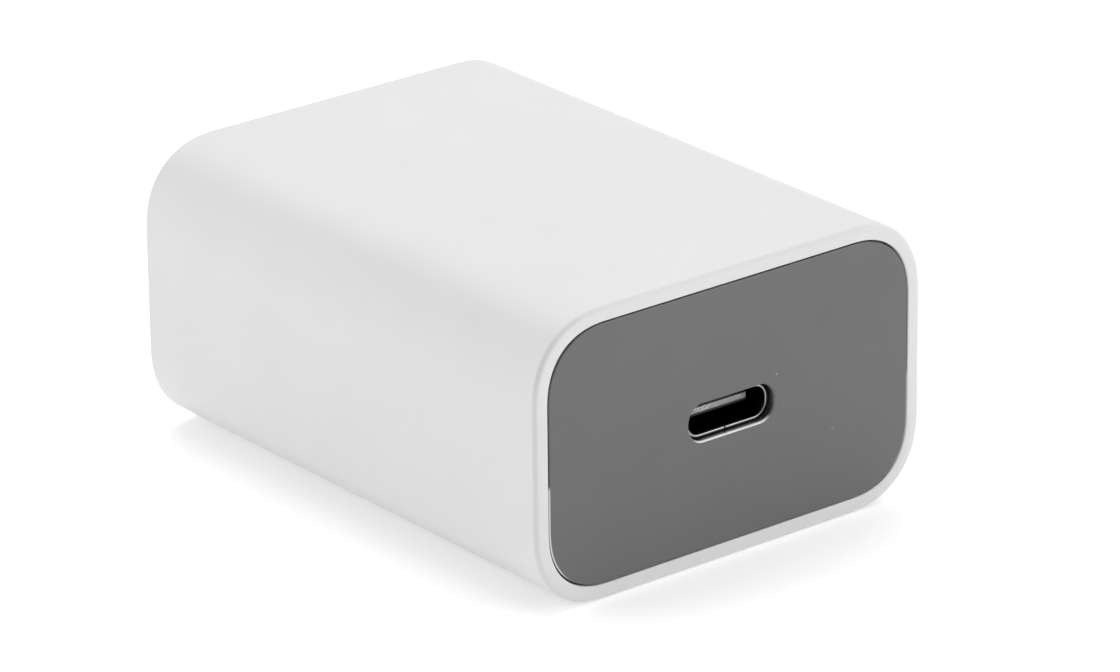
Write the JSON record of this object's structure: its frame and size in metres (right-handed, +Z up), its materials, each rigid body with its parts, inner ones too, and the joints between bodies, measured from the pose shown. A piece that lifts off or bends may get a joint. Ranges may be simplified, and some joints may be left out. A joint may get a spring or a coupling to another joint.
{
  "type": "usb wall charger",
  "caption": "Wall charger in a rounded white sleeve, with a grey end plate, one reversible USB socket and flat plug blades that fold into the back.",
  "frame": {"origin": "middle of the broad face that the charger lies on", "axes": "+X across the width, +Y from the socket end to the plug end, +Z up out of the surface it lies on"},
  "size_m": [0.0416, 0.0538, 0.0259],
  "materials": {
    "white_plastic": "satin white moulded plastic",
    "grey_plastic": "matte grey moulded plastic",
    "black_plastic": "matte black moulded plastic",
    "pale_plastic": "pale grey moulded plastic",
    "steel": "bright steel",
    "plated_brass": "nickel plate",
    "spring_bronze": "bright strip",
    "circuit_board": "green lacquer over glass laminate",
    "chip_epoxy": "black moulded epoxy",
    "ferrite": "dull dark grey",
    "copper_wire": "enamelled copper wire",
    "yellow_tape": "polyester tape",
    "capacitor_sleeve": "dark shrink sleeve over an aluminium can",
    "polymer_can": "bare aluminium can",
    "film_box": "yellow moulded box",
    "blue_coating": "blue dipped coating",
    "fuse_body": "brown moulded plastic",
    "aluminium_sheet": "bent sheet",
    "polyester_film": "folded insulating film",
    "gap_pad": "soft grey pad"
  },
  "bodies": {
    "housing": {"sleeve": "white_plastic", "front_plate": "grey_plastic", "rear_cover": "white_plastic", "port_shell": "steel", "port_tongue": "pale_plastic", "rotor_bracket": "black_plastic", "bracket_screw_inner": "steel", "bracket_screw_outer": "steel", "detent_spring": "steel", "live_contact": "spring_bronze", "neutral_contact": "spring_bronze", "main_board": "circuit_board", "port_board": "circuit_board", "bridge_rectifier": "chip_epoxy", "power_switch": "chip_epoxy", "output_rectifier": "chip_epoxy", "optocoupler": "chip_epoxy", "port_controller": "chip_epoxy", "transformer_core_front": "ferrite", "transformer_core_rear": "ferrite", "transformer_bobbin": "black_plastic", "transformer_winding": "yellow_tape", "bulk_capacitor_front": "capacitor_sleeve", "bulk_capacitor_rear": "capacitor_sleeve", "output_capacitor_left": "polymer_can", "output_capacitor_right": "polymer_can", "safety_capacitor": "film_box", "bridging_capacitor": "blue_coating", "fuse": "fuse_body", "filter_choke_core": "ferrite", "filter_choke_winding_left": "copper_wire", "filter_choke_winding_right": "copper_wire", "heat_spreader": "aluminium_sheet", "insulation_sheet": "polyester_film", "thermal_pad": "gap_pad"},
    "plug": {"plug_rotor": "white_plastic", "blade_upper": "plated_brass", "blade_lower": "plated_brass"}
  },
  "joints": [
    {"name": "plug_fold", "type": "hinge", "parent": "housing", "child": "plug", "pos_m": [0.0084, 0.0235, 0.01295], "axis": [0, 0, -1], "range_deg": [0, 90], "deforming": ["detent_spring"]}
  ]
}
